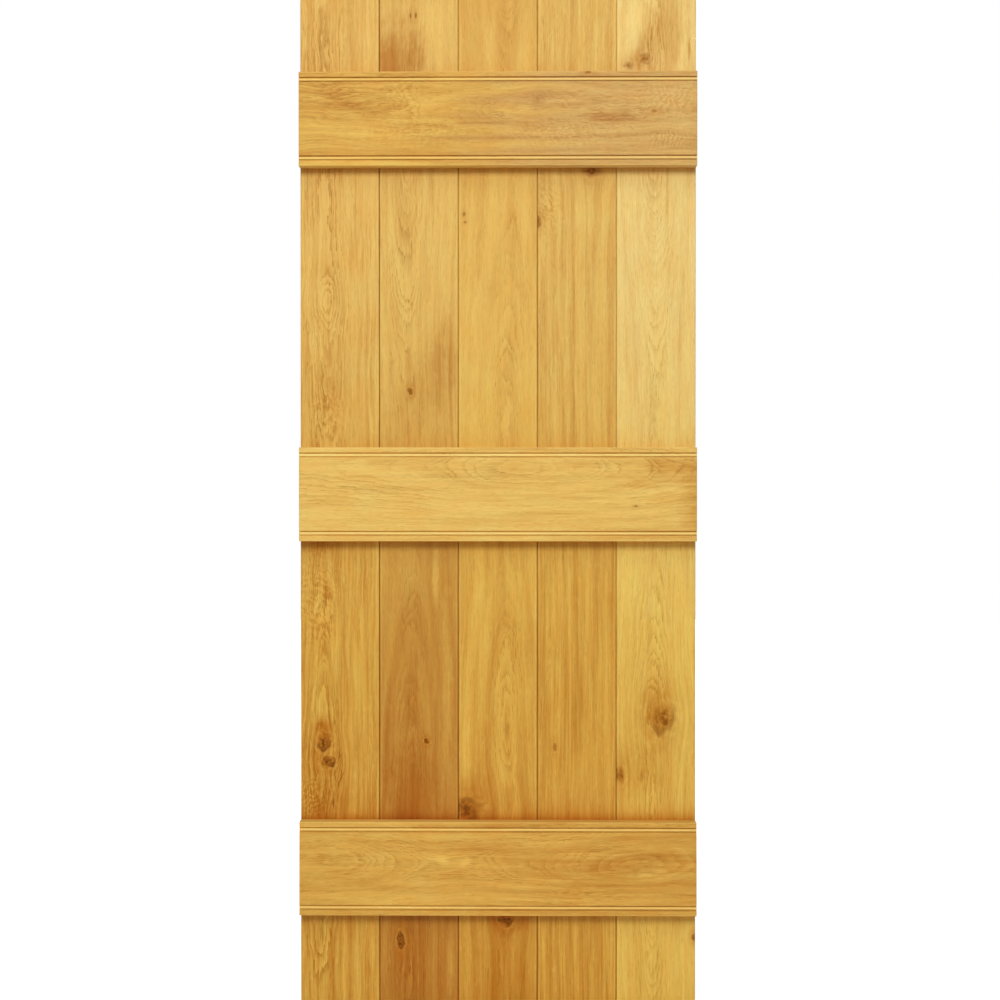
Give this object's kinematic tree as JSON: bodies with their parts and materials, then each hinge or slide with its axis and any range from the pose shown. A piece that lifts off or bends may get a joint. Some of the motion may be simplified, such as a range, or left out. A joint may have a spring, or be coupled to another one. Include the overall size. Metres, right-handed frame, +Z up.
{
  "type": "ledged door",
  "caption": "Ledged oak door leaf: upright tongue-and-groove boards fixed to bead-edged cross ledges, hung by one edge to close a doorway.",
  "frame": {"origin": "on the hinge edge at the foot of the leaf, in the middle of the boards' thickness", "axes": "+X across the leaf from the hinge edge to the lock edge, +Y through it from the ledged back to the plain front, +Z up"},
  "size_m": [0.762, 0.044, 1.981],
  "materials": {
    "oak_boards": "satin",
    "oak_ledges": "satin"
  },
  "bodies": {
    "root": {"hinge_board": "oak_boards", "second_board": "oak_boards", "centre_board": "oak_boards", "fourth_board": "oak_boards", "lock_board": "oak_boards", "bottom_ledge": "oak_ledges", "middle_ledge": "oak_ledges", "top_ledge": "oak_ledges"}
  },
  "joints": []
}
